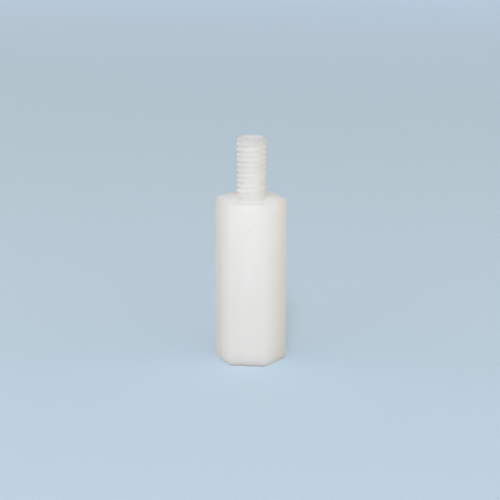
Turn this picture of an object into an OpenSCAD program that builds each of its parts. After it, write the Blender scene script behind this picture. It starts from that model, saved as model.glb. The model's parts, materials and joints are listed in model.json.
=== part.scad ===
// Hex standoff, moulded in one piece from natural nylon.
// A hexagonal pillar with a threaded stud on its shoulder and a threaded hole
// in its foot. It stands on its foot: Z is up along the thread's axis, and the
// origin is the middle of the foot. Two corners of the hexagon lie on the X axis.

/* [Hex body] */
// Distance across two opposite flats
across_flats = 6; // [5.5:0.5:8]
// Height of the body, from the foot to the shoulder
body_len = 16; // [12:1:40]
// Radius along the six upright edges
corner_r = 0.25; // [0.1:0.05:0.4]
// Bevel round the foot and round the shoulder
end_bevel = 0.15; // [0.05:0.05:0.25]

/* [Thread] */
// Nominal diameter of the stud's thread and the hole's
thread_d = 3; // [3:0.1:3.5]
// Distance from one turn to the next
thread_pitch = 0.5; // [0.4:0.05:0.5]
// How far the moulded crests stay under the nominal diameter, across the stud
crest_allowance = 0.2; // [0:0.02:0.2]

/* [Stud] */
// Height of the stud above the shoulder
stud_len = 6; // [4:0.5:12]
// Diameter of the flat on the stud's rounded end
tip_flat_d = 1.7; // [1.4:0.05:1.8]
// Radius that rounds the stud's end
tip_round = 0.5; // [0.3:0.05:0.5]
// Radius of the fillet between the stud and the shoulder. It ends outside the crests, so a board seats flat
neck_fillet = 0.3; // [0.28:0.01:0.35]
// Least height of plain neck under the lowest ridge
neck_h = 0.15; // [0.1:0.05:0.4]

/* [Hole] */
// Depth of the hole, from the foot
hole_depth = 9; // [5:0.5:9]
// Diameter of the hole at the crests of its thread
hole_d = 2.5; // [2.4:0.1:2.7]
// Diameter of the countersunk mouth, at the foot
mouth_d = 3.2; // [2.8:0.1:3.6]

/* [Hidden] */

// Facets round a full turn, on the stud and on the hole
round_fn = 96;
// Facets round a full turn, on a small radius
edge_fn = 32;
// How far one shape reaches into or past another
overlap = 0.5;

// A regular hexagon's corner lies further out than its flats by this
corner_reach = 1 / cos(30);
apothem = across_flats / 2;
stud_top = body_len + stud_len;

// The thread's grooves open at 60 degrees, so each flank leans half as much from the level
flank_angle = 30;
// Depth of a full outside thread and width of its crest, as parts of the pitch
thread_depth_ratio = 0.6134;
crest_width_ratio = 1 / 8;
crest_r = (thread_d - crest_allowance) / 2;
root_r = thread_d / 2 - thread_depth_ratio * thread_pitch;
crest_w = crest_width_ratio * thread_pitch + crest_allowance * tan(flank_angle);
flank_h = (crest_r - root_r) * tan(flank_angle);

// The top ridge rises straight from the rounded tip
tip_r = tip_flat_d / 2 + tip_round;
tip_flank_h = (crest_r - tip_r) * tan(flank_angle);
first_ridge_z = stud_top - tip_round - tip_flank_h - crest_w / 2;
lowest_ridge_z = body_len + neck_h + flank_h + crest_w / 2;
ridges = floor((first_ridge_z - lowest_ridge_z) / thread_pitch) + 1;

// Unit vector at an angle
function direction(a) = [cos(a), sin(a)];

// Middle of the arc that rounds the hexagon's corner at angle a
function corner_centre(a) = (apothem - corner_r) * corner_reach * direction(a);

// Half section of one ridge whose middle is at height z, from its top to its foot.
// It stands at the thread's pitch as a plain ring, so that its crest is truly round.
function ridge(z, top_r, top_h) = [
    [top_r, z + crest_w / 2 + top_h],
    [crest_r, z + crest_w / 2],
    [crest_r, z - crest_w / 2],
    [root_r, z - crest_w / 2 - flank_h],
];

// Hexagon with rounded corners
module hex_outline() {
    corners = [0:60:300];
    polygon([
        for (a = corners) for (side = [-30, 30])
            corner_centre(a) + corner_r * direction(a + side)
    ]);
    for (a = corners)
        translate(corner_centre(a)) circle(r = corner_r, $fn = edge_fn);
}

// Wedges that bevel the six edges under a top face at height z
module bevel_cuts(z) {
    for (a = [30:60:330])
        translate([0, 0, z]) rotate([90, 0, a])
            linear_extrude(height = across_flats, center = true)
                polygon([
                    [apothem - end_bevel, 0],
                    [apothem + end_bevel, 0],
                    [apothem + end_bevel, -2 * end_bevel],
                ]);
}

module hex_body() {
    difference() {
        linear_extrude(height = body_len) hex_outline();
        bevel_cuts(body_len);
        mirror([0, 0, 1]) bevel_cuts(0);
    }
}

// Half section of the stud, rooted in the body
module stud_section() {
    polygon(concat(
        [
            [0, body_len - overlap],
            [0, stud_top],
            [tip_flat_d / 2, stud_top],
            [tip_flat_d / 2, stud_top - tip_round],
        ],
        ridge(first_ridge_z, tip_r, tip_flank_h),
        [
            for (i = [1:ridges - 1])
                each ridge(first_ridge_z - i * thread_pitch, root_r, flank_h)
        ],
        [[root_r, body_len - overlap]]
    ));
    // Rounded tip
    translate([tip_flat_d / 2, stud_top - tip_round]) circle(r = tip_round, $fn = edge_fn);
    // Fillet at the neck
    difference() {
        translate([root_r - neck_fillet, body_len - overlap])
            square([2 * neck_fillet, overlap + neck_fillet]);
        translate([root_r + neck_fillet, body_len + neck_fillet])
            circle(r = neck_fillet, $fn = edge_fn);
    }
}

module stud() {
    rotate_extrude($fn = round_fn) stud_section();
}

// Blind hole up into the foot, with a countersunk mouth
module threaded_hole() {
    mouth_h = (mouth_d - hole_d) / 2;
    translate([0, 0, -overlap])
        cylinder(d = hole_d, h = hole_depth + overlap, $fn = round_fn);
    // The cone starts below the foot and is as wide as the mouth at the foot itself
    translate([0, 0, -overlap])
        cylinder(d1 = mouth_d + 2 * overlap, d2 = hole_d, h = mouth_h + overlap, $fn = round_fn);
}

module hex_standoff() {
    color("#e9e9e3")
        difference() {
            union() {
                hex_body();
                stud();
            }
            threaded_hole();
        }
}

hex_standoff();
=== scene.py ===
"""Hex standoff of natural nylon: a hexagonal pillar with a threaded stud and hole, on a plain stage."""

import json
import math

import bpy
from bpy.props import FloatProperty, FloatVectorProperty, IntProperty, PointerProperty
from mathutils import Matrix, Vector


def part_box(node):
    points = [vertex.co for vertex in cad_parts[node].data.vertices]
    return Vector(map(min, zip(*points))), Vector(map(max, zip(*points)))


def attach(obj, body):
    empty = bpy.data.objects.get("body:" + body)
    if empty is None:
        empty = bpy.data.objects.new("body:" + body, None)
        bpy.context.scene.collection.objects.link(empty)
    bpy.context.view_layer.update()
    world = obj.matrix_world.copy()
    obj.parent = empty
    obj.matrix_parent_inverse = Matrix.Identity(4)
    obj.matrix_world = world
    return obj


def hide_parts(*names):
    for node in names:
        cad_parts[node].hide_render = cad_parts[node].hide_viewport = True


bl_info = {
    "name": "Hex Standoff",
    "version": (1, 0, 0),
    "blender": (4, 5, 0),
    "location": "View3D > Sidebar > Standoff",
    "description": "Models a moulded nylon standoff with real threads, and its stage",
    "category": "Add Mesh",
}

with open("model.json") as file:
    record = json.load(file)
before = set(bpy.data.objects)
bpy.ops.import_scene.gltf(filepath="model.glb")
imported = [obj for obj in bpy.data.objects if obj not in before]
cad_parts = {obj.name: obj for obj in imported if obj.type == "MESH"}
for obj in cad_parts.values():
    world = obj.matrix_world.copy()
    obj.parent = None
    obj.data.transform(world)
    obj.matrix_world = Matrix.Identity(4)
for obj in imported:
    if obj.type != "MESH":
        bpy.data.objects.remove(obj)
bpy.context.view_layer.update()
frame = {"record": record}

MM = 0.001
NODE = "hex_standoff"
MOUNTS = {mount["name"]: mount for mount in frame["record"]["mounts"]}
STUD, HOLE, SHOULDER = (MOUNTS[name] for name in ("male_stud", "female_thread", "shoulder"))
LOW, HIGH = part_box(NODE)


def linear(hex_colour):
    """Linear RGB of an sRGB colour such as #e9e8e2."""
    channels = [int(hex_colour[i:i + 2], 16) / 255 for i in (1, 3, 5)]
    return [c / 12.92 if c <= 0.04045 else ((c + 0.055) / 1.055) ** 2.4 for c in channels]


# ---------------------------------------------------------------- properties


def length(name, description, default):
    """A length that a user may change, shown in the scene's unit."""
    return FloatProperty(name=name, description=description, default=default,
                         min=0.0, precision=5, unit="LENGTH", subtype="DISTANCE")


def colour(name, description, hex_colour):
    """A colour that a user may change."""
    return FloatVectorProperty(name=name, description=description, default=linear(hex_colour),
                               size=3, min=0.0, max=1.0, subtype="COLOR")


def amount(name, description, default, top=1.0):
    """A plain number that a user may change."""
    return FloatProperty(name=name, description=description, default=default, min=0.0, max=top)


class StandoffSizes(bpy.types.PropertyGroup):
    """Sizes of the standoff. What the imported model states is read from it."""

    across_flats: length("Across flats", "Distance across two opposite flats", HIGH.y - LOW.y)
    top: length("Overall height", "Height of the stud's end above the foot", HIGH.z)
    shoulder: length("Body height", "Height of the shoulder above the foot", SHOULDER["pos_m"][2])
    corner_round: length("Corner radius", "Radius along the upright edges", 0.25 * MM)
    end_round: length("End radius", "Rounding round the foot and the shoulder", 0.15 * MM)

    pitch: length("Thread pitch", "Rise of one turn of either thread", 0.5 * MM)
    stud_crest: length("Stud crest radius", "Radius over the stud's crests",
                       STUD["dims"]["r_mm"] * MM)
    stud_root: length("Stud root radius", "Radius at the stud's roots", 1.193 * MM)
    crest_drop: length("Start of the thread", "How far the first full crest lies below the tip", 0.505 * MM)
    tip_flat: length("Tip flat radius", "Radius of the flat on the stud's end", 0.85 * MM)
    tip_round: length("Tip radius", "Radius that rounds the stud's end", 0.5 * MM)
    neck_fillet: length("Neck fillet", "Radius between the stud and the shoulder", 0.3 * MM)

    hole_crest: length("Hole crest radius", "Radius of the hole inside its thread's crests",
                       HOLE["dims"]["r_mm"] * MM)
    hole_root: length("Hole root radius", "Radius of the hole at its thread's roots", 1.52 * MM)
    hole_depth: length("Hole depth", "Depth of the hole above the foot",
                       HOLE["pos_m"][2] + HOLE["dims"]["length_mm"] * MM)
    plain_end: length("Plain end", "Length of the hole above its last thread", 1.0 * MM)
    mouth: length("Mouth radius", "Radius of the hole's countersunk mouth at the foot", 1.6 * MM)

    turn_steps: IntProperty(name="Steps a turn", description="Facets round one turn of a thread",
                            default=96, min=24, max=180)


class NylonLook(bpy.types.PropertyGroup):
    """Finish of the moulded nylon."""

    milk: colour("Milky colour", "Colour of the nylon where it is thickest", "#edeeee")
    # Painted light round the stud's foot, lightening the shade where it meets the shoulder
    core: colour("Core colour", "Colour round the stud's foot, which cools last", "#fefefe")
    straw: colour("Straw colour", "Warmer colour of its faint clouds", "#e9e9e6")
    # Painted shade on the stud's end: a greyer, cooler colour towards its tip
    clear: colour("Clear tint", "Colour of the stud's end, which cools first and stays clearer", "#d5d5d9")
    speck: colour("Speck colour", "Colour of the grain of scorched resin in one flat", "#dfddd6")
    scatter: length("Scatter depth", "How far red light travels inside the nylon", 1.8 * MM)
    roughness: amount("Roughness", "Roughness of the moulded skin", 0.3)
    ease: amount("Inner glow", "How far the light inside evens out the edges and the threads", 0.95)


class StageLook(bpy.types.PropertyGroup):
    """Floor, backdrop and light."""

    floor: colour("Floor", "Colour of the floor and the backdrop", "#b9cde0")
    lift: amount("Floor lift", "Light that the eye gets from the card beside what the lamps give", 0.3, 1.0)
    bounce: colour("Bounce", "Colour of the light that the floor and the backdrop throw back", "#e3e3e2")
    front: amount("Front lamp", "Power of the soft box in front, in watts", 0.46, 100.0)
    left: amount("Left lamp", "Power of the soft box on the left, in watts", 0.42, 100.0)
    right: amount("Right lamp", "Power of the soft box on the right, in watts", 0.45, 100.0)
    back: amount("Back lamp", "Power of the soft box behind, in watts", 0.34, 100.0)
    top: amount("Top lamp", "Power of the soft box overhead, in watts", 0.04, 100.0)
    rim: amount("Rim lamps", "Power of each soft box behind the sides, in watts", 0.10, 100.0)
    glint: amount("Glint lamp", "Power of the small lamp high in front, in watts", 0.23, 100.0)
    cool: colour("Front light", "Colour of the light from in front and from behind", "#f0f3ff")
    warm: colour("Side light", "Colour of the light from the sides and above", "#fffcea")
    amber: colour("Rim light", "Colour of the light from behind the sides", "#ffe07c")
    sky: amount("Sky", "Strength of the even light from all round", 0.04, 10.0)


# ---------------------------------------------------------------- modelling tools

# Vertices closer than this are merged, and a level cut takes what is within a tenth of it as on the cut
WELD = 0.0005 * MM
# Two faces that meet at a smaller angle than this shade as one
SMOOTH_BELOW = math.radians(40)
# How strongly a large face holds the shading of the edges round it
FLAT_WEIGHT = 80


def deselect_all():
    """Leaves nothing selected, so that an operator acts only on what comes next."""
    for obj in bpy.context.selected_objects:
        obj.select_set(False)


def edit(obj):
    """Opens one object's mesh with all of it selected."""
    deselect_all()
    obj.select_set(True)
    bpy.context.view_layer.objects.active = obj
    bpy.ops.object.mode_set(mode="EDIT")
    bpy.ops.mesh.select_mode(type="VERT")
    bpy.ops.mesh.select_all(action="SELECT")


def close_edit():
    """Goes back to the object."""
    bpy.ops.object.mode_set(mode="OBJECT")


def pick(obj, wanted, kind="EDGE"):
    """In edit mode, selects only the vertices or edges that wanted() is true for."""
    bpy.ops.mesh.select_mode(type=kind)
    bpy.ops.mesh.select_all(action="DESELECT")
    bpy.ops.object.mode_set(mode="OBJECT")
    mesh = obj.data
    parts = mesh.vertices if kind == "VERT" else mesh.edges
    for part in parts:
        ends = [part.co] if kind == "VERT" else [mesh.vertices[i].co for i in part.vertices]
        part.select = wanted(ends)
    bpy.ops.object.mode_set(mode="EDIT")


def apply_modifier(obj, kind, **settings):
    """Adds a modifier, sets it and applies it."""
    deselect_all()
    obj.select_set(True)
    bpy.context.view_layer.objects.active = obj
    bpy.ops.object.modifier_add(type=kind)
    modifier = obj.modifiers[-1]
    for key, value in settings.items():
        setattr(modifier, key, value)
    bpy.ops.object.modifier_apply(modifier=modifier.name)


def draw_section(name, points):
    """A line of edges in the XZ plane, from one vertex that is extruded to each next (radius, height)."""
    places = [Vector((radius, 0, height)) for radius, height in points]
    deselect_all()
    bpy.ops.mesh.primitive_plane_add(size=MM)
    obj = bpy.context.object
    obj.name = name
    edit(obj)
    bpy.ops.mesh.merge(type="CENTER")
    bpy.ops.transform.translate(value=places[0])
    for here, there in zip(places, places[1:]):
        bpy.ops.mesh.extrude_region_move(TRANSFORM_OT_translate={"value": there - here})
    close_edit()
    return obj


def turn(obj, steps, rise=0.0, turns=1):
    """Turns a section round Z, as a lathe does, or with a rise for each turn, as a thread is cut."""
    apply_modifier(obj, "SCREW", axis="Z", angle=math.tau, screw_offset=rise, iterations=turns,
                   steps=steps, render_steps=steps)
    clean(obj)


def clean(obj):
    """Merges doubles and turns the faces outwards."""
    edit(obj)
    bpy.ops.mesh.remove_doubles(threshold=WELD)
    bpy.ops.mesh.normals_make_consistent(inside=False)
    close_edit()


def cut_level(obj, height, keep):
    """Cuts a tube of mesh level at a height, keeps what is above or below, and closes the cut."""
    edit(obj)
    bpy.ops.mesh.bisect(plane_co=(0, 0, height), plane_no=(0, 0, 1), use_fill=True,
                        clear_inner=keep == "above", clear_outer=keep == "below", threshold=WELD / 10)
    close_edit()


def combine(obj, tool, operation):
    """Joins, cuts or trims obj with another solid, which is then thrown away."""
    apply_modifier(obj, "BOOLEAN", operation=operation, solver="EXACT", object=tool)
    bpy.data.objects.remove(tool)


def smooth(obj):
    """Smooth shading that breaks only at sharp edges and leaves large flats flat."""
    deselect_all()
    obj.select_set(True)
    bpy.context.view_layer.objects.active = obj
    bpy.ops.object.shade_smooth_by_angle(angle=SMOOTH_BELOW)
    apply_modifier(obj, "WEIGHTED_NORMAL", keep_sharp=True, weight=FLAT_WEIGHT)


def arc(centre, radius, start, end, steps):
    """Points along an arc between two angles, in degrees."""
    angles = [math.radians(start + (end - start) * i / steps) for i in range(steps + 1)]
    return [(centre[0] + radius * math.cos(a), centre[1] + radius * math.sin(a)) for a in angles]


# ---------------------------------------------------------------- the standoff

# From the middle of a flat of the hexagon to its corner, and the lean of a thread's flank
HALF_SIXTH = math.radians(30)
FLANK_SLOPE = math.tan(math.radians(30))
# Steps along a plain arc, and along the rounding of a small edge
ARC_STEPS = 8
SOFT_STEPS = 4
# How far one shape reaches into or past another
REACH = 0.5 * MM

# The crest's part of the pitch, and what rounds its edges and the root's, on the stud and in the hole
STUD_CREST_SHARE = 0.24
STUD_SOFT = 0.035 * MM
HOLE_CREST_SHARE = 0.125
HOLE_SOFT = 0.02 * MM
# The tip's rounding starts this many degrees up from the level, and flares out below that
TIP_START = 15
TIP_FLARE = 0.3 * MM
# The neck's fillet ends this many degrees short of level, and dives into the shoulder at that slope
NECK_DIVE = 8
# The core pin is this much thinner than the thread's crests, and its end is rounded
PIN_GAP = 0.01 * MM
PIN_ROUND = 0.2 * MM


def hex_pillar(size):
    """The body: a six-sided bar with its upright edges rounded, then its two ends."""
    corner = size.across_flats / 2 / math.cos(HALF_SIXTH)
    deselect_all()
    bpy.ops.mesh.primitive_cylinder_add(vertices=6, radius=corner, depth=size.shoulder,
                                        location=(0, 0, size.shoulder / 2),
                                        rotation=(0, 0, HALF_SIXTH))
    obj = bpy.context.object
    obj.name = "nylon_standoff"
    bpy.ops.object.transform_apply(location=True, rotation=True, scale=True)
    edit(obj)
    pick(obj, lambda ends: abs(ends[0].z - ends[1].z) > MM)
    tangent = size.corner_round * math.tan(HALF_SIXTH)
    bpy.ops.mesh.bevel(offset=tangent, offset_type="OFFSET", segments=ARC_STEPS, profile=0.5,
                       affect="EDGES")
    near = 0.01 * MM
    for height in (0.0, size.shoulder):
        pick(obj, lambda ends, z=height: all(abs(end.z - z) < near for end in ends))
        bpy.ops.mesh.bevel(offset=size.end_round, offset_type="OFFSET", segments=SOFT_STEPS, profile=0.5,
                           affect="EDGES")
    close_edit()
    return obj


def thread_section(name, base, peak, pitch, peak_share, start, soft):
    """One pitch of a thread, from the middle of a groove to the middle of the next.

    base and peak are radii, peak_share is the flat's part of the pitch, and soft rounds the corners."""
    flank = abs(peak - base) * FLANK_SLOPE
    half_peak = pitch * peak_share / 2
    middle = start + pitch / 2
    obj = draw_section(name, [
        (base, start),
        (base, middle - half_peak - flank),
        (peak, middle - half_peak),
        (peak, middle + half_peak),
        (base, middle + half_peak + flank),
        (base, start + pitch),
    ])
    ends = (start, start + pitch)
    near = 0.005 * MM
    edit(obj)
    pick(obj, lambda at: all(abs(at[0].z - end) > near for end in ends), kind="VERT")
    bpy.ops.mesh.bevel(offset=soft, offset_type="OFFSET", segments=SOFT_STEPS, profile=0.5,
                       affect="VERTICES")
    close_edit()
    return obj


def threaded_bar(name, section, size, low, high):
    """A closed bar with a right-hand thread, cut level at both ends."""
    heights = [vertex.co.z for vertex in section.data.vertices]
    turns = math.ceil((high - min(heights)) / size.pitch) + 1
    turn(section, size.turn_steps, rise=size.pitch, turns=turns)
    section.name = name
    cut_level(section, low, "above")
    cut_level(section, high, "below")
    clean(section)
    return section


def stud(size):
    """The threaded stud, rounded at its tip."""
    crest_middle = size.top - size.crest_drop
    low, high = size.shoulder - REACH, size.top + REACH
    below = math.ceil((crest_middle - low) / size.pitch) + 2
    start = crest_middle - (below + 0.5) * size.pitch
    section = thread_section("stud_section", size.stud_root, size.stud_crest, size.pitch,
                             STUD_CREST_SHARE, start, STUD_SOFT)
    bar = threaded_bar("stud", section, size, low, high)

    centre = (size.tip_flat, size.top - size.tip_round)
    tip_edge = arc(centre, size.tip_round, TIP_START, 90, ARC_STEPS)
    wide = tip_edge[0][0] + TIP_FLARE
    bullet = draw_section("tip_envelope", [
        (0, low - REACH),
        (wide, low - REACH),
        (wide, tip_edge[0][1] - TIP_FLARE),
        *tip_edge,
        (0, size.top),
    ])
    turn(bullet, size.turn_steps)
    combine(bar, bullet, "INTERSECT")
    return bar


def neck(size):
    """The fillet where the stud grows out of the shoulder."""
    centre = (size.stud_root + size.neck_fillet, size.shoulder + size.neck_fillet)
    hollow = arc(centre, size.neck_fillet, 180, 270 - NECK_DIVE, ARC_STEPS)
    toe = (hollow[-1][0] + REACH, hollow[-1][1] - REACH * math.tan(math.radians(NECK_DIVE)))
    obj = draw_section("neck", [
        (0, hollow[0][1]),
        *hollow,
        toe,
        (toe[0], size.shoulder - REACH),
        (0, size.shoulder - REACH),
    ])
    turn(obj, size.turn_steps)
    return obj


def tapped_hole(size):
    """What the core pin and its thread leave empty: a blind threaded hole with a countersunk mouth."""
    start = -2 * size.pitch - REACH
    section = thread_section("hole_section", size.hole_crest, size.hole_root, size.pitch,
                             HOLE_CREST_SHARE, start, HOLE_SOFT)
    bar = threaded_bar("hole_thread", section, size, -REACH, size.hole_depth - size.plain_end)

    pin = size.hole_crest - PIN_GAP
    dome = arc((pin - PIN_ROUND, size.hole_depth - PIN_ROUND), PIN_ROUND, 0, 90, ARC_STEPS)
    core = draw_section("core_pin", [
        (0, -REACH),
        (size.mouth + REACH, -REACH),
        (pin, size.mouth - pin),
        *dome,
        (0, size.hole_depth),
    ])
    turn(core, size.turn_steps)
    combine(core, bar, "UNION")
    return core


class OBJECT_OT_add_standoff(bpy.types.Operator):
    """Model the one-piece nylon standoff"""

    bl_idname = "object.add_nylon_standoff"
    bl_label = "Nylon Standoff"
    bl_options = {"REGISTER", "UNDO"}

    def execute(self, context):
        size = context.scene.standoff_sizes
        body = hex_pillar(size)
        combine(body, neck(size), "UNION")
        combine(body, stud(size), "UNION")
        combine(body, tapped_hole(size), "DIFFERENCE")
        clean(body)
        smooth(body)
        body.data.materials.clear()
        body.data.materials.append(moulded_natural_nylon(context.scene.nylon_look))
        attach(body, "root")
        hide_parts(NODE)
        return {"FINISHED"}


# ---------------------------------------------------------------- materials


def add_node(tree, kind, settings, links):
    """Adds a node, sets its options and socket values, and links its sockets to other nodes' outputs."""
    node = tree.nodes.new(kind)
    for key, value in settings.items():
        if isinstance(key, int) or not hasattr(node, key):
            node.inputs[key].default_value = value
        else:
            setattr(node, key, value)
    for key, output in links.items():
        tree.links.new(output, node.inputs[key])
    return node


def new_material(name):
    """An empty node material and its tree."""
    material = bpy.data.materials.new(name)
    material.use_nodes = True
    material.node_tree.nodes.clear()
    return material, material.node_tree


# Sockets of a Mix node by their number, because they share their names: two colours in and one out,
# and two vectors in and one out
COLOUR_A, COLOUR_B, COLOUR_OUT = 6, 7, 2
VECTOR_A, VECTOR_B, VECTOR_OUT = 4, 5, 1

NYLON_IOR = 1.53
# Far in the nylon blue light is lost a little sooner than red, and light keeps most of its direction
SCATTER_RGB = (1.0, 0.99, 0.97)
FORWARD = 0.8

# Clouds of crystals, and the shrinkage waves in the flats
CLOUD_WIDTH = 3 * MM
WAVE_WIDTH = 4 * MM
WAVE_DEPTH = 0.05 * MM
WAVE_STRENGTH = 0.5
# The skin's grain is 0.03 mm wide on the real one, and is drawn as coarse as it needs to show
GRAIN_WIDTH = 0.15 * MM
GRAIN_DEPTH = 0.006 * MM
GRAIN_STRENGTH = 0.3
# Centre of the painted light round the stud's foot, and how far from it the painted light starts to fade
# and ends
NECK_LIGHT_PLACE = (0, 0, 16.5 * MM)
NECK_LIGHT_FROM = 1.5 * MM
NECK_LIGHT_TO = 3.5 * MM
# Heights between which painted shade greys the stud's end
TIP_SHADE_FROM = 20.7 * MM
TIP_SHADE_TO = 22.2 * MM
# The speck, which is solid over the inner part of its radius
SPECK_PLACE = (0.15 * MM, -3.0 * MM, 13.44 * MM)
SPECK_RADIUS = 0.14 * MM
SPECK_SOLID = 0.4
# The dome that the end faces glow like
DOME_RADIUS = 3.0 * MM
# A face glows fully like a round bar once the cosine of its turn away from the bar's side is this
SQUARE_ON = 0.72
# The glow leans down at the foot and up at the shoulder by this slope
LEAN = 0.16
BODY_TOP = SHOULDER["pos_m"][2]


def resin_colour(tree, place, height, look):
    """The nylon's colour: clouded, with painted light that whitens it round the stud's foot and painted
    shade that greys the stud's end.
    """
    # Crystals cloud the resin in patches about 3 mm wide
    clouds = add_node(tree, "ShaderNodeTexNoise",
                      {"Scale": 1 / CLOUD_WIDTH, "Detail": 2.0, "Roughness": 0.5}, {"Vector": place})
    resin = add_node(tree, "ShaderNodeMix",
                     {"data_type": "RGBA", COLOUR_A: (*look.milk, 1), COLOUR_B: (*look.straw, 1)},
                     {"Factor": clouds.outputs["Fac"]})

    # Painted light: the colour turns whiter round the stud's foot, lightening the shade where the stud
    # grows out of the shoulder
    depth = add_node(tree, "ShaderNodeVectorMath", {"operation": "DISTANCE", 1: NECK_LIGHT_PLACE}, {0: place})
    neck_light_share = add_node(tree, "ShaderNodeMapRange",
                    {"From Min": NECK_LIGHT_FROM, "From Max": NECK_LIGHT_TO, "To Min": 1.0, "To Max": 0.0,
                     "interpolation_type": "SMOOTHSTEP"},
                    {"Value": depth.outputs["Value"]})
    neck_lit = add_node(tree, "ShaderNodeMix",
                        {"data_type": "RGBA", COLOUR_B: (*look.core, 1)},
                        {"Factor": neck_light_share.outputs["Result"], COLOUR_A: resin.outputs[COLOUR_OUT]})

    # Painted shade: the stud's end turns a little greyer and cooler towards its tip
    tip_shade_share = add_node(tree, "ShaderNodeMapRange",
                       {"From Min": TIP_SHADE_FROM, "From Max": TIP_SHADE_TO, "interpolation_type": "SMOOTHSTEP"},
                       {"Value": height})
    tip_shaded = add_node(tree, "ShaderNodeMix",
                      {"data_type": "RGBA", COLOUR_B: (*look.clear, 1)},
                      {"Factor": tip_shade_share.outputs["Result"], COLOUR_A: neck_lit.outputs[COLOUR_OUT]})

    # One grain of scorched resin lies just under the skin of a flat: a faint brownish speck
    away = add_node(tree, "ShaderNodeVectorMath", {"operation": "DISTANCE", 1: SPECK_PLACE}, {0: place})
    inside = add_node(tree, "ShaderNodeMapRange",
                      {"From Min": SPECK_RADIUS * SPECK_SOLID, "From Max": SPECK_RADIUS,
                       "To Min": 1.0, "To Max": 0.0},
                      {"Value": away.outputs["Value"]})
    flecked = add_node(tree, "ShaderNodeMix",
                       {"data_type": "RGBA", COLOUR_B: (*look.speck, 1)},
                       {"Factor": inside.outputs["Result"], COLOUR_A: tip_shaded.outputs[COLOUR_OUT]})
    return flecked.outputs[COLOUR_OUT]


def evened_glow(tree, place, height, surface, look):
    """The directions in which the light that has wandered in the nylon comes out.

    It comes out as from a plain round bar with domed ends, so edges and threads show less in it than in
    the gloss on the skin."""
    outward = add_node(tree, "ShaderNodeVectorMath", {"operation": "MULTIPLY", 1: (1, 1, 0)}, {0: place})
    round_bar = add_node(tree, "ShaderNodeVectorMath", {"operation": "NORMALIZE"},
                         {0: outward.outputs["Vector"]})
    lean = add_node(tree, "ShaderNodeMapRange",
                    {"From Min": 0.0, "From Max": BODY_TOP, "To Min": -LEAN, "To Max": LEAN},
                    {"Value": height})
    upright = add_node(tree, "ShaderNodeCombineXYZ", {}, {"Z": lean.outputs["Result"]})
    barrel = add_node(tree, "ShaderNodeVectorMath", {"operation": "ADD"},
                      {0: round_bar.outputs["Vector"], 1: upright.outputs["Vector"]})
    domed = add_node(tree, "ShaderNodeVectorMath", {"operation": "MULTIPLY_ADD", 1: [1 / DOME_RADIUS] * 3},
                     {0: outward.outputs["Vector"], 2: surface})

    # A side glows like the bar and an end like the dome, and what lies between is shared
    facing_out = add_node(tree, "ShaderNodeVectorMath", {"operation": "DOT_PRODUCT"},
                          {0: round_bar.outputs["Vector"], 1: surface})
    share = add_node(tree, "ShaderNodeMapRange",
                     {"From Min": 0.0, "From Max": SQUARE_ON, "To Max": look.ease},
                     {"Value": facing_out.outputs["Value"]})
    eased = add_node(tree, "ShaderNodeMix", {"data_type": "VECTOR"},
                     {"Factor": share.outputs["Result"], VECTOR_A: domed.outputs["Vector"],
                      VECTOR_B: barrel.outputs["Vector"]})
    glow = add_node(tree, "ShaderNodeVectorTransform",
                    {"vector_type": "NORMAL", "convert_from": "OBJECT", "convert_to": "WORLD"},
                    {"Vector": eased.outputs[VECTOR_OUT]})
    return glow.outputs["Vector"]


def grained(tree, grain, normal):
    """A surface's directions with the grain of the mould's skin on them."""
    bump = add_node(tree, "ShaderNodeBump", {"Strength": GRAIN_STRENGTH, "Distance": GRAIN_DEPTH},
                    {"Height": grain.outputs["Fac"], "Normal": normal})
    return bump.outputs["Normal"]


def moulded_natural_nylon(look):
    """Natural nylon 6/6, injection moulded: milky, with soft light inside and a satin skin."""
    material, tree = new_material("moulded natural nylon")
    where = add_node(tree, "ShaderNodeTexCoord", {}, {})
    place, surface = where.outputs["Object"], where.outputs["Normal"]
    height = add_node(tree, "ShaderNodeSeparateXYZ", {}, {"Vector": place}).outputs["Z"]

    # The mould's spark-eroded skin leaves a fine grain, which makes the gloss satin
    grain = add_node(tree, "ShaderNodeTexNoise",
                     {"Scale": 1 / GRAIN_WIDTH, "Detail": 3.0, "Roughness": 0.6}, {"Vector": place})
    # Slow shrinkage leaves the flats a little uneven over a few millimetres
    sink = add_node(tree, "ShaderNodeTexNoise", {"Scale": 1 / WAVE_WIDTH, "Detail": 1.0}, {"Vector": place})
    waves = add_node(tree, "ShaderNodeBump",
                     {"Strength": WAVE_STRENGTH, "Distance": WAVE_DEPTH}, {"Height": sink.outputs["Fac"]})

    shader = add_node(tree, "ShaderNodeBsdfPrincipled",
                      {"IOR": NYLON_IOR, "Roughness": look.roughness, "Specular IOR Level": 0.0,
                       "Coat Weight": 1.0, "Coat IOR": NYLON_IOR, "Coat Roughness": look.roughness,
                       "Subsurface Weight": 1.0, "Subsurface Scale": look.scatter,
                       "Subsurface Radius": SCATTER_RGB, "Subsurface Anisotropy": FORWARD},
                      {"Base Color": resin_colour(tree, place, height, look),
                       "Normal": grained(tree, grain, evened_glow(tree, place, height, surface, look)),
                       "Coat Normal": grained(tree, grain, waves.outputs["Normal"])})
    add_node(tree, "ShaderNodeOutputMaterial", {}, {"Surface": shader.outputs["BSDF"]})
    return material


# The card's own fine tooth
TOOTH_WIDTH = 1.5 * MM
TOOTH_DEPTH = 0.02 * MM
TOOTH_STRENGTH = 0.1


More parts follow.
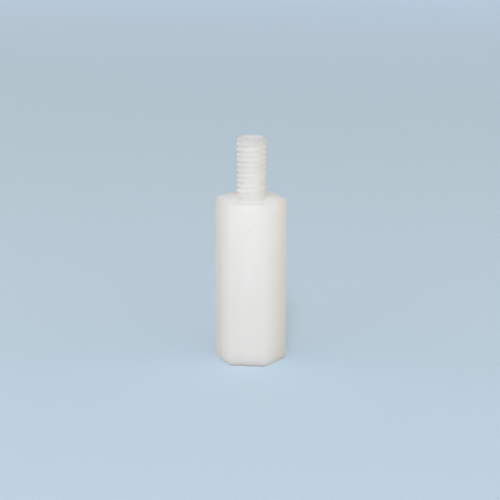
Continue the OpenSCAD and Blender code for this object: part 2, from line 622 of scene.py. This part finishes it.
def painted_card(look):
    """Matt painted card, for the floor and the backdrop: even and dull."""
    material, tree = new_material("matt painted card")
    place = add_node(tree, "ShaderNodeTexCoord", {}, {}).outputs["Object"]
    tooth = add_node(tree, "ShaderNodeTexNoise",
                     {"Scale": 1 / TOOTH_WIDTH, "Detail": 2.0}, {"Vector": place})
    bump = add_node(tree, "ShaderNodeBump", {"Strength": TOOTH_STRENGTH, "Distance": TOOTH_DEPTH},
                    {"Height": tooth.outputs["Fac"]})
    # The eye and a gloss see the card's paint, and what it throws on the nylon is nearly white
    path = add_node(tree, "ShaderNodeLightPath", {}, {})
    eye_or_gloss = add_node(tree, "ShaderNodeMath", {"operation": "MAXIMUM"},
                            {0: path.outputs["Is Camera Ray"], 1: path.outputs["Is Glossy Ray"]})
    seen = add_node(tree, "ShaderNodeMath", {"operation": "MAXIMUM"},
                    {0: eye_or_gloss.outputs["Value"], 1: path.outputs["Is Transmission Ray"]})
    paint = add_node(tree, "ShaderNodeMix",
                     {"data_type": "RGBA", COLOUR_A: (*look.bounce, 1), COLOUR_B: (*look.floor, 1)},
                     {"Factor": seen.outputs["Value"]})
    lifted = add_node(tree, "ShaderNodeMath", {"operation": "MULTIPLY", 1: look.lift},
                      {0: seen.outputs["Value"]})
    shader = add_node(tree, "ShaderNodeBsdfPrincipled",
                      {"Roughness": 0.9, "Emission Color": (*look.floor, 1)},
                      {"Base Color": paint.outputs[COLOUR_OUT], "Normal": bump.outputs["Normal"],
                       "Emission Strength": lifted.outputs["Value"]})
    add_node(tree, "ShaderNodeOutputMaterial", {}, {"Surface": shader.outputs["BSDF"]})
    return material


# ---------------------------------------------------------------- stage


# Camera: where it stands round a point on the standoff's axis, and the point that it looks at. Degrees
CAMERA_AZIMUTH = 5.84
CAMERA_ELEVATION = 16.77
CAMERA_DISTANCE = 160 * MM
CAMERA_ORBITS = Vector((0, 0, 8.08 * MM))
CAMERA_AIM = Vector((-0.08 * MM, 0, 10.82 * MM))
CAMERA_ROLL = 0.3
# Focal length and film width, in millimetres as Blender's camera has them
LENS = 119.0
FILM = 36.0
NEAREST = 5 * MM
FARTHEST = 10.0

# The floor's radius, the curve that leads up into the wall, the wall's top, and the steps of both turns
STAGE_RADIUS = 900 * MM
COVE_RADIUS = 250 * MM
WALL_TOP = 900 * MM
COVE_STEPS = 24
STAGE_STEPS = 96

# Lamps: how far they stand, in degrees round and up from the front, and each one's width and height
LAMP_DISTANCE = 350 * MM
FRONT_ELEVATION = 24.0
FRONT_BOX = (450 * MM, 270 * MM)
SIDE_AZIMUTH = 65.0
SIDE_ELEVATION = 30.0
SIDE_BOX = (450 * MM, 220 * MM)
BACK_ELEVATION = 14.0
BACK_BOX = (650 * MM, 170 * MM)
RIM_AZIMUTH = 120.0
RIM_ELEVATION = 30.0
RIM_BOX = (250 * MM, 220 * MM)
TOP_ELEVATION = 85.0
TOP_BOX = (400 * MM, 300 * MM)
GLINT_ELEVATION = 45.0
GLINT_BOX = (35 * MM, 35 * MM)


def direction(azimuth, elevation):
    """Unit vector from the standoff towards a place, where azimuth 0 is in front of it."""
    a, e = math.radians(azimuth), math.radians(elevation)
    return Vector((math.sin(a) * math.cos(e), -math.cos(a) * math.cos(e), math.sin(e)))


def add_soft_box(name, azimuth, elevation, shape, power, tint, aim):
    """A soft box of a width and height that looks at a point and stays out of the picture."""
    deselect_all()
    way = direction(azimuth, elevation)
    bpy.ops.object.light_add(type="AREA", location=aim + way * LAMP_DISTANCE)
    lamp = bpy.context.object
    lamp.name = name
    lamp.visible_camera = False
    lamp.data.shape = "RECTANGLE"
    lamp.data.size, lamp.data.size_y = shape
    lamp.data.energy = power
    lamp.data.color = tint
    lamp.rotation_euler = way.to_track_quat("Z", "Y").to_euler()


class SCENE_OT_add_stage(bpy.types.Operator):
    """Add the floor, the backdrop, the lamps and the camera"""

    bl_idname = "scene.add_standoff_stage"
    bl_label = "Studio Stage"
    bl_options = {"REGISTER", "UNDO"}

    def execute(self, context):
        look = context.scene.stage_look
        aim = Vector((0, 0, (LOW.z + HIGH.z) / 2))

        # A round floor that curves up all round into a wall
        cove = arc((STAGE_RADIUS - COVE_RADIUS, COVE_RADIUS), COVE_RADIUS, 270, 360, COVE_STEPS)
        stage = draw_section("stage", [(0, 0), *cove, (STAGE_RADIUS, WALL_TOP)])
        turn(stage, STAGE_STEPS)
        edit(stage)
        bpy.ops.mesh.flip_normals()
        close_edit()
        bpy.ops.object.shade_smooth()
        stage.data.materials.append(painted_card(look))

        world = bpy.data.worlds.new("even sky")
        world.use_nodes = True
        sky = world.node_tree.nodes["Background"]
        sky.inputs["Color"].default_value = (1, 1, 1, 1)
        sky.inputs["Strength"].default_value = look.sky
        context.scene.world = world

        add_soft_box("front", 0, FRONT_ELEVATION, FRONT_BOX, look.front, look.cool, aim)
        add_soft_box("left", -SIDE_AZIMUTH, SIDE_ELEVATION, SIDE_BOX, look.left, look.warm, aim)
        add_soft_box("right", SIDE_AZIMUTH, SIDE_ELEVATION, SIDE_BOX, look.right, look.warm, aim)
        add_soft_box("back", 180, BACK_ELEVATION, BACK_BOX, look.back, look.cool, aim)
        add_soft_box("rim left", -RIM_AZIMUTH, RIM_ELEVATION, RIM_BOX, look.rim, look.amber, aim)
        add_soft_box("rim right", RIM_AZIMUTH, RIM_ELEVATION, RIM_BOX, look.rim, look.amber, aim)
        add_soft_box("top", 0, TOP_ELEVATION, TOP_BOX, look.top, look.warm, aim)
        add_soft_box("glint", 0, GLINT_ELEVATION, GLINT_BOX, look.glint, look.cool, aim)

        place = CAMERA_ORBITS + direction(CAMERA_AZIMUTH, CAMERA_ELEVATION) * CAMERA_DISTANCE
        deselect_all()
        bpy.ops.object.camera_add(location=place)
        camera = context.object
        camera.name = "camera"
        camera.rotation_euler = (place - CAMERA_AIM).to_track_quat("Z", "Y").to_euler()
        camera.rotation_euler.rotate_axis("Z", math.radians(CAMERA_ROLL))
        camera.data.lens = LENS
        camera.data.sensor_width = FILM
        camera.data.clip_start = NEAREST
        camera.data.clip_end = FARTHEST
        context.scene.camera = camera
        context.scene.view_settings.view_transform = "Standard"
        return {"FINISHED"}


# ---------------------------------------------------------------- add-on


class VIEW3D_PT_standoff(bpy.types.Panel):
    """Buttons and sizes for the standoff"""

    bl_idname = "VIEW3D_PT_standoff"
    bl_label = "Hex Standoff"
    bl_space_type = "VIEW_3D"
    bl_region_type = "UI"
    bl_category = "Standoff"

    def draw(self, context):
        layout = self.layout
        layout.operator(OBJECT_OT_add_standoff.bl_idname)
        layout.operator(SCENE_OT_add_stage.bl_idname)
        for group in (context.scene.standoff_sizes, context.scene.nylon_look, context.scene.stage_look):
            box = layout.box()
            for name in group.__annotations__:
                box.prop(group, name)


CLASSES = (
    StandoffSizes,
    NylonLook,
    StageLook,
    OBJECT_OT_add_standoff,
    SCENE_OT_add_stage,
    VIEW3D_PT_standoff,
)


def register():
    for cls in CLASSES:
        bpy.utils.register_class(cls)
    bpy.types.Scene.standoff_sizes = PointerProperty(type=StandoffSizes)
    bpy.types.Scene.nylon_look = PointerProperty(type=NylonLook)
    bpy.types.Scene.stage_look = PointerProperty(type=StageLook)


def unregister():
    for name in ("standoff_sizes", "nylon_look", "stage_look"):
        delattr(bpy.types.Scene, name)
    for cls in reversed(CLASSES):
        bpy.utils.unregister_class(cls)


def main():
    register()
    bpy.ops.object.add_nylon_standoff()
    bpy.ops.scene.add_standoff_stage()


if __name__ == "__main__":
    main()
